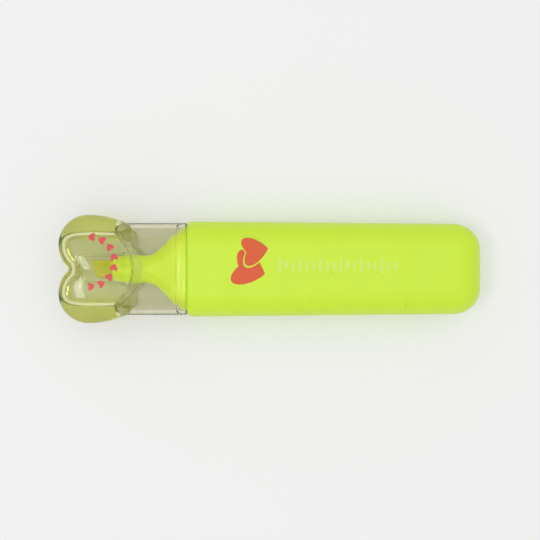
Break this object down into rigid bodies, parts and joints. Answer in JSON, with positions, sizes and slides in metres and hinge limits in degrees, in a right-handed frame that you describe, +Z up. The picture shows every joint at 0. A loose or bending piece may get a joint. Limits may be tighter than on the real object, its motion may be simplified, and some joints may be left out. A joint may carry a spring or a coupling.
{
  "type": "highlighter pen",
  "caption": "Flat highlighter with a rounded opaque barrel, a chisel nib and a clear pull-off cap that ends in a hollow puffy heart.",
  "frame": {"origin": "below the pen's axis on the plane it lies on, at the middle of its length and width", "axes": "+X along the pen towards the closed rear of the barrel (the cap pulls off towards -X), +Y across the broad face, +Z up, square to the broad face"},
  "size_m": [0.12, 0.031, 0.017],
  "materials": {
    "barrel_plastic": "satin fluorescent yellow-green moulded plastic",
    "front_plastic": "satin fluorescent yellow-green moulded plastic",
    "nib_fibre": "ink-soaked pressed fibre",
    "wick_fibre": "ink-soaked fibre wick",
    "film": "thin clear film",
    "clear_plastic": "polished clear plastic",
    "cup_plastic": "clear plastic",
    "tinted_clear_plastic": "polished clear plastic with a yellow-green tint"
  },
  "bodies": {
    "pen": {"barrel": "barrel_plastic", "front_section": "front_plastic", "nib": "nib_fibre", "ink_reservoir": "wick_fibre", "reservoir_film": "film"},
    "cap": {"cap_tube": "clear_plastic", "inner_cap": "cup_plastic", "heart_front_shell": "tinted_clear_plastic", "heart_back_shell": "tinted_clear_plastic"}
  },
  "joints": [
    {"name": "cap_slide", "type": "slide", "parent": "pen", "child": "cap", "axis": [-1, 0, 0], "range_m": [0, 0.045]}
  ]
}
